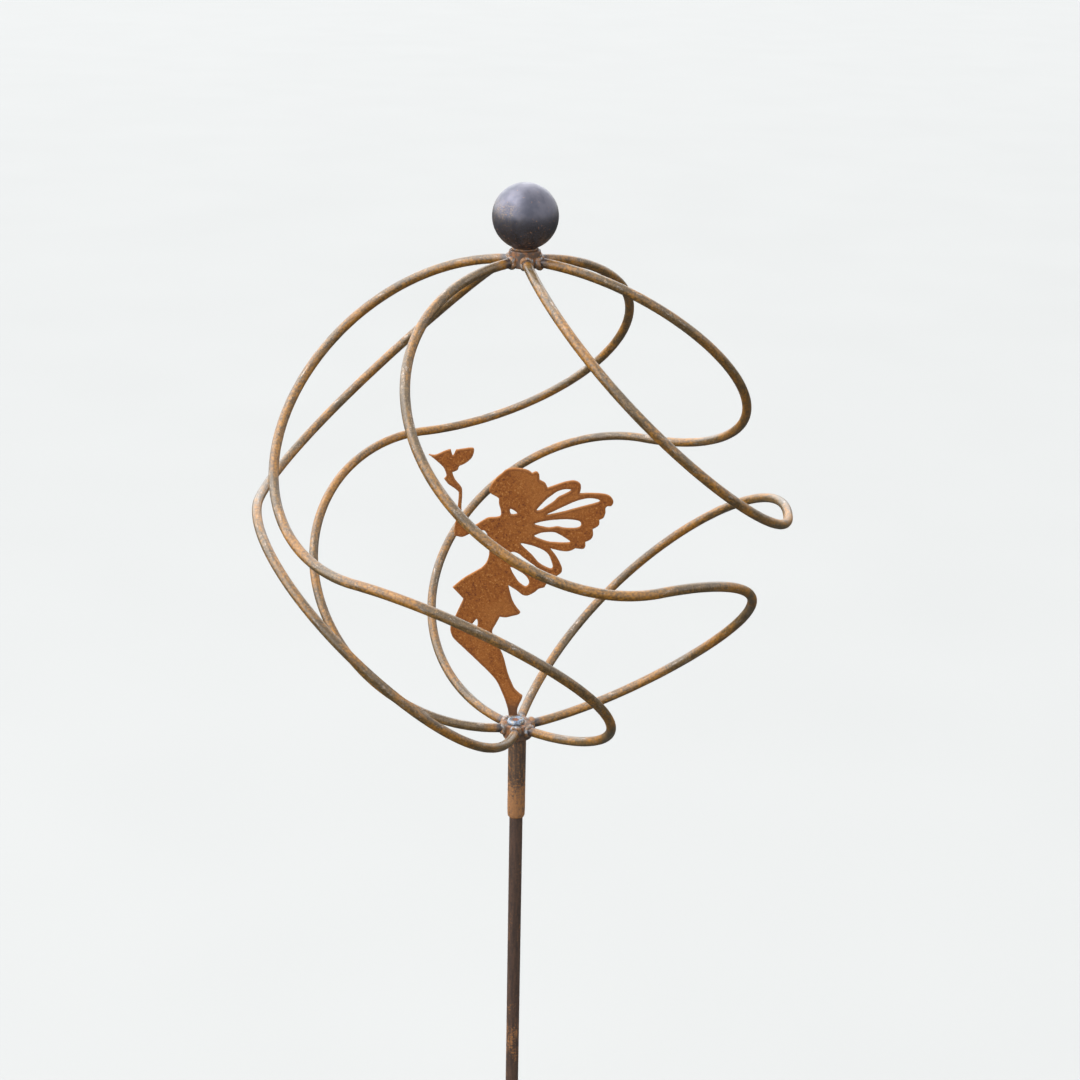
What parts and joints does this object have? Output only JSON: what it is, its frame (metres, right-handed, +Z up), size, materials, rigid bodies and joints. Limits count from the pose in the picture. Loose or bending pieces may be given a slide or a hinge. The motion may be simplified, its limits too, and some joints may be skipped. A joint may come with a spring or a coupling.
{
  "type": "kinetic wind sculpture",
  "caption": "Garden wind spinner: an open ball-shaped cage of swept steel rods with a cut-plate fairy inside and a ball finial, turning on a pole with a pronged foot.",
  "frame": {"origin": "on the pole's axis at ground level, inside the top of the middle prong", "axes": "+Z up along the pole towards the ball; +Y behind the fairy plate, so its face looks along -Y; +X to the right of someone who faces the plate"},
  "size_m": [0.4572, 0.447, 1.548],
  "materials": {
    "rod_steel": "bare round bar gone brown, with orange rust patches and pale worn streaks",
    "rust_plate": "even, fine-grained orange-brown rust",
    "ball_steel": "dark grey-brown mill scale with a soft sheen and small rust specks",
    "hub_steel": "dark rusty brown",
    "weld_bead": "rippled weld, rusty with bare grey crests",
    "bright_weld": "bare blue-grey weld with a rust spot in the middle",
    "pole_steel": "dark purple-brown rolled bar with rust speckle",
    "bearing_steel": "polished ball"
  },
  "bodies": {
    "pole": {"pole": "pole_steel", "pole_weld": "weld_bead", "foot_bar": "pole_steel", "prong_left": "pole_steel", "prong_middle": "pole_steel", "prong_right": "pole_steel", "prong_welds": "weld_bead"},
    "bearing": {"bearing_ball": "bearing_steel"},
    "head": {"ball_finial": "ball_steel", "ball_weld": "weld_bead", "top_hub": "hub_steel", "top_rod_welds": "weld_bead", "cage_rod_1": "rod_steel", "cage_rod_2": "rod_steel", "cage_rod_3": "rod_steel", "cage_rod_4": "rod_steel", "cage_rod_5": "rod_steel", "cage_rod_6": "rod_steel", "fairy_silhouette": "rust_plate", "fairy_weld": "weld_bead", "lower_hub": "hub_steel", "lower_rod_welds": "weld_bead", "socket_tube": "pole_steel", "tube_plug": "pole_steel", "plug_weld": "bright_weld", "collar_weld": "weld_bead"}
  },
  "joints": [
    {"name": "head_lift", "type": "slide", "parent": "pole", "child": "bearing", "axis": [0, 0, 1], "range_m": [0, 0.06]},
    {"name": "head_spin", "type": "hinge", "parent": "bearing", "child": "head", "pos_m": [0, 0, 1], "axis": [0, 0, 1], "continuous": true}
  ]
}
